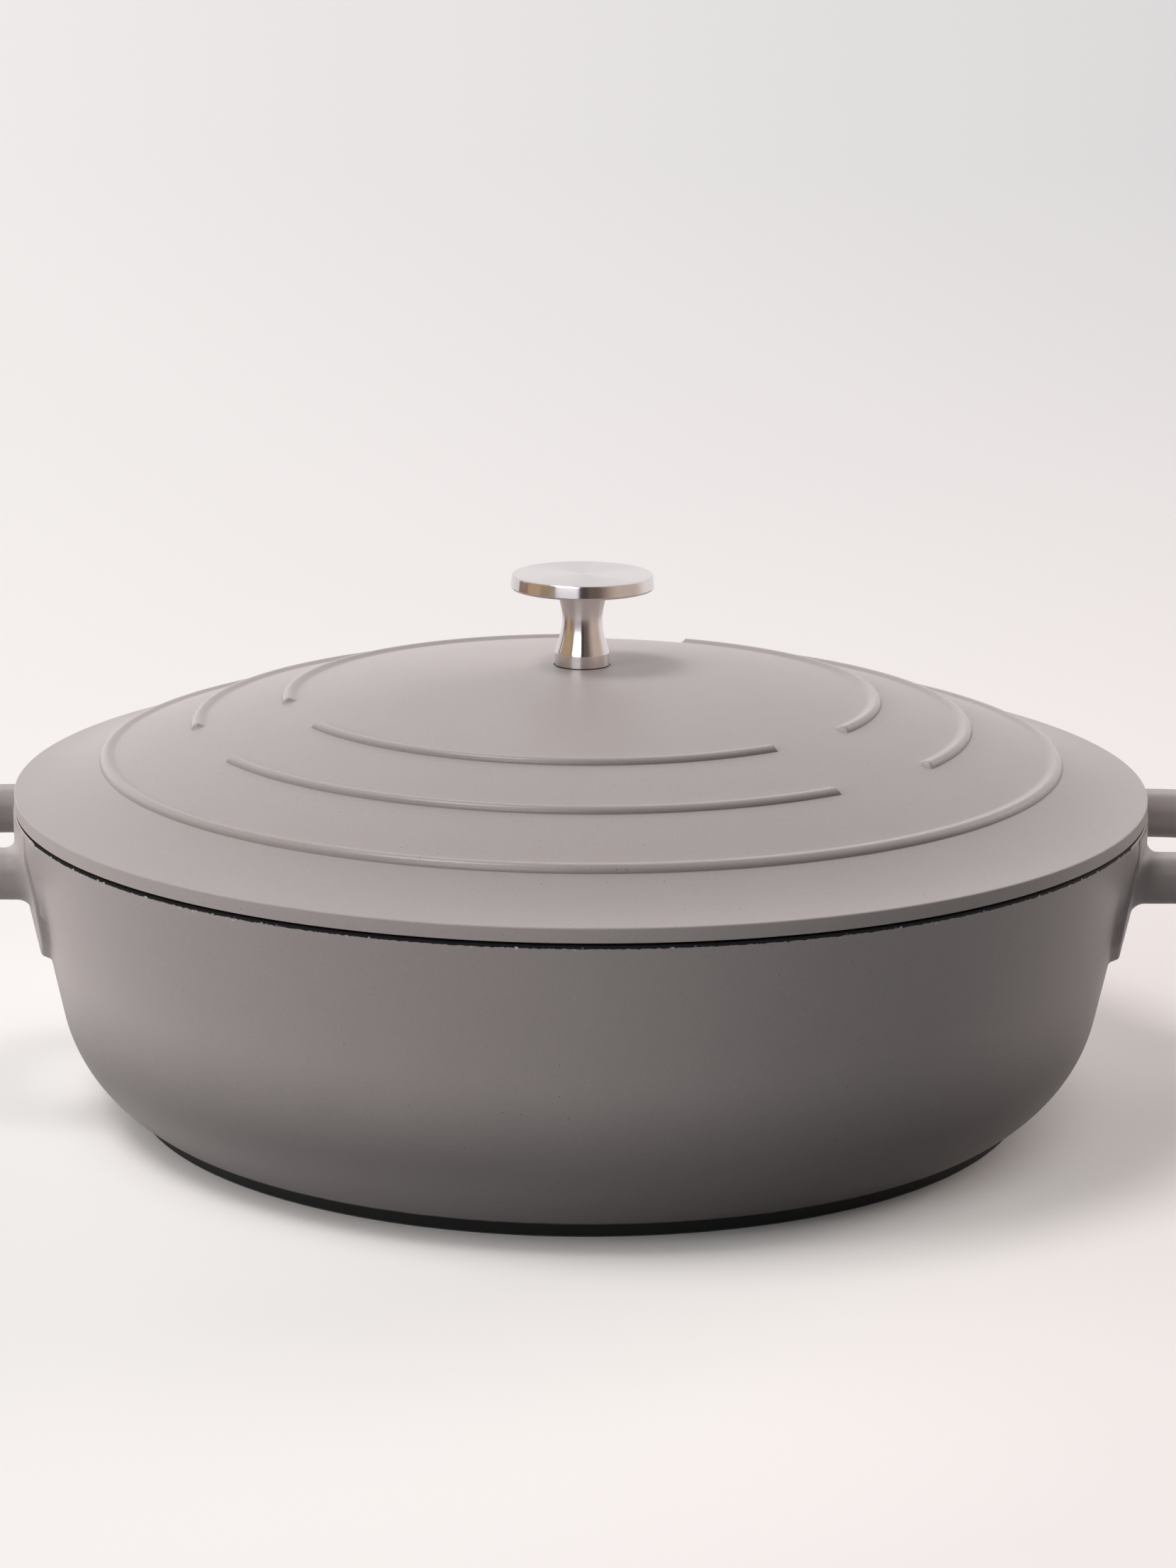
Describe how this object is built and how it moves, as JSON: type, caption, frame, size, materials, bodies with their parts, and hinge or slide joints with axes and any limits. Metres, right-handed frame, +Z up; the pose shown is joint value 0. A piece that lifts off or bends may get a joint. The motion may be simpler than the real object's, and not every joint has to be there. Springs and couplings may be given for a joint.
{
  "type": "shallow casserole pot",
  "caption": "Shallow round cast casserole pot with loop side handles and a domed lid with raised rings and a turned metal knob.",
  "frame": {"origin": "centre of the base, on the surface the pot stands on", "axes": "+Z up along the pot's round axis, X through the two loop handles, -Y the side the picture was taken from"},
  "size_m": [0.38, 0.297, 0.1403],
  "materials": {
    "coated_casting": "matte warm grey coating outside, black non-stick inside and on the foot",
    "coated_lid_casting": "matte warm grey coating outside, black non-stick underneath",
    "turned_steel": "turned stainless steel, satin",
    "base_steel": "steel plate pressed into the base",
    "screw_steel": "plain stainless steel"
  },
  "bodies": {
    "pot": {"pot_body": "coated_casting", "induction_plate": "base_steel"},
    "lid_assembly": {"lid": "coated_lid_casting", "knob": "turned_steel", "knob_screw": "screw_steel", "lock_washer": "screw_steel"}
  },
  "joints": [
    {"name": "lid_lift", "type": "slide", "parent": "pot", "child": "lid_assembly", "axis": [0, 0, 1], "range_m": [0, 0.15]}
  ]
}
